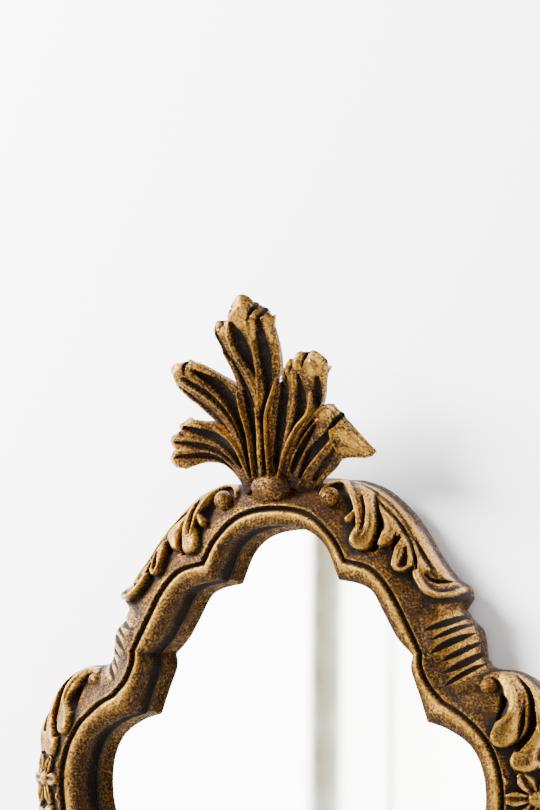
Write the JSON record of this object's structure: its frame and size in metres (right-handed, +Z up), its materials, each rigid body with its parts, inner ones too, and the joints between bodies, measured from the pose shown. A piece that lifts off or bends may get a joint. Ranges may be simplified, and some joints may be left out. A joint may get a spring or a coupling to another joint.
{
  "type": "wall mirror",
  "caption": "Carved and gilded cartouche wall mirror with a leaf crest, a deep stepped moulding, a plain glass and turn buttons and a hanging ring on its back.",
  "frame": {"origin": "where the hanging ring bears on its hook, on the wall plane", "axes": "+Z up along the longest side, +Y into the wall, +X to the right of somebody facing the glass"},
  "size_m": [0.332, 0.0716, 0.4916],
  "materials": {
    "gilt": "carved wood, antique bronze-gold leaf with umber glaze",
    "mirror_glass": "silvered float glass",
    "board": "plain softwood board",
    "dowel": "beech",
    "brass": "dull rolled brass",
    "steel": "zinc-plated",
    "felt": "pressed felt"
  },
  "bodies": {
    "mirror_body": {"top_rail": "gilt", "left_stile": "gilt", "right_stile": "gilt", "bottom_rail": "gilt", "mirror_glass": "mirror_glass", "backing_board": "board", "crest": "gilt", "pendant": "gilt", "shoulder_leaf_top_left": "gilt", "ribbed_shell_top_left": "gilt", "side_scroll_top_left": "gilt", "shoulder_leaf_top_right": "gilt", "ribbed_shell_top_right": "gilt", "side_scroll_top_right": "gilt", "shoulder_leaf_bottom_left": "gilt", "ribbed_shell_bottom_left": "gilt", "side_scroll_bottom_left": "gilt", "shoulder_leaf_bottom_right": "gilt", "ribbed_shell_bottom_right": "gilt", "side_scroll_bottom_right": "gilt", "waist_flower_left": "gilt", "waist_flower_right": "gilt", "dowel_top_left_front": "dowel", "dowel_top_left_rear": "dowel", "dowel_top_right_front": "dowel", "dowel_top_right_rear": "dowel", "dowel_bottom_left_front": "dowel", "dowel_bottom_left_rear": "dowel", "dowel_bottom_right_front": "dowel", "dowel_bottom_right_rear": "dowel", "hanger_plate": "brass", "hanger_screw_left": "steel", "hanger_screw_right": "steel", "button_screw_top_left": "steel", "button_screw_top_right": "steel", "button_screw_left": "steel", "button_screw_right": "steel", "button_screw_bottom_left": "steel", "button_screw_bottom_right": "steel", "felt_bumper_left": "felt", "felt_bumper_right": "felt"},
    "turn_button_top_left": {"turn_button_top_left": "brass"},
    "turn_button_top_right": {"turn_button_top_right": "brass"},
    "turn_button_left": {"turn_button_left": "brass"},
    "turn_button_right": {"turn_button_right": "brass"},
    "turn_button_bottom_left": {"turn_button_bottom_left": "brass"},
    "turn_button_bottom_right": {"turn_button_bottom_right": "brass"},
    "hanger_ring": {"hanger_ring": "brass"}
  },
  "joints": [
    {"name": "turn_button_top_left_turn", "type": "hinge", "parent": "mirror_body", "child": "turn_button_top_left", "pos_m": [-0.07421, -0.0021, -0.06871], "axis": [0, 1, 0], "continuous": true},
    {"name": "turn_button_top_right_turn", "type": "hinge", "parent": "mirror_body", "child": "turn_button_top_right", "pos_m": [0.07421, -0.0021, -0.06871], "axis": [0, 1, 0], "continuous": true},
    {"name": "turn_button_left_turn", "type": "hinge", "parent": "mirror_body", "child": "turn_button_left", "pos_m": [-0.13454, -0.0021, -0.16301], "axis": [0, 1, 0], "continuous": true},
    {"name": "turn_button_right_turn", "type": "hinge", "parent": "mirror_body", "child": "turn_button_right", "pos_m": [0.13454, -0.0021, -0.16301], "axis": [0, 1, 0], "continuous": true},
    {"name": "turn_button_bottom_left_turn", "type": "hinge", "parent": "mirror_body", "child": "turn_button_bottom_left", "pos_m": [-0.07386, -0.0021, -0.2949], "axis": [0, 1, 0], "continuous": true},
    {"name": "turn_button_bottom_right_turn", "type": "hinge", "parent": "mirror_body", "child": "turn_button_bottom_right", "pos_m": [0.07386, -0.0021, -0.2949], "axis": [0, 1, 0], "continuous": true},
    {"name": "hanger_ring_swing", "type": "hinge", "parent": "mirror_body", "child": "hanger_ring", "pos_m": [0, -0.0015, -0.012], "axis": [-1, 0, 0], "range_deg": [0, 150]}
  ]
}
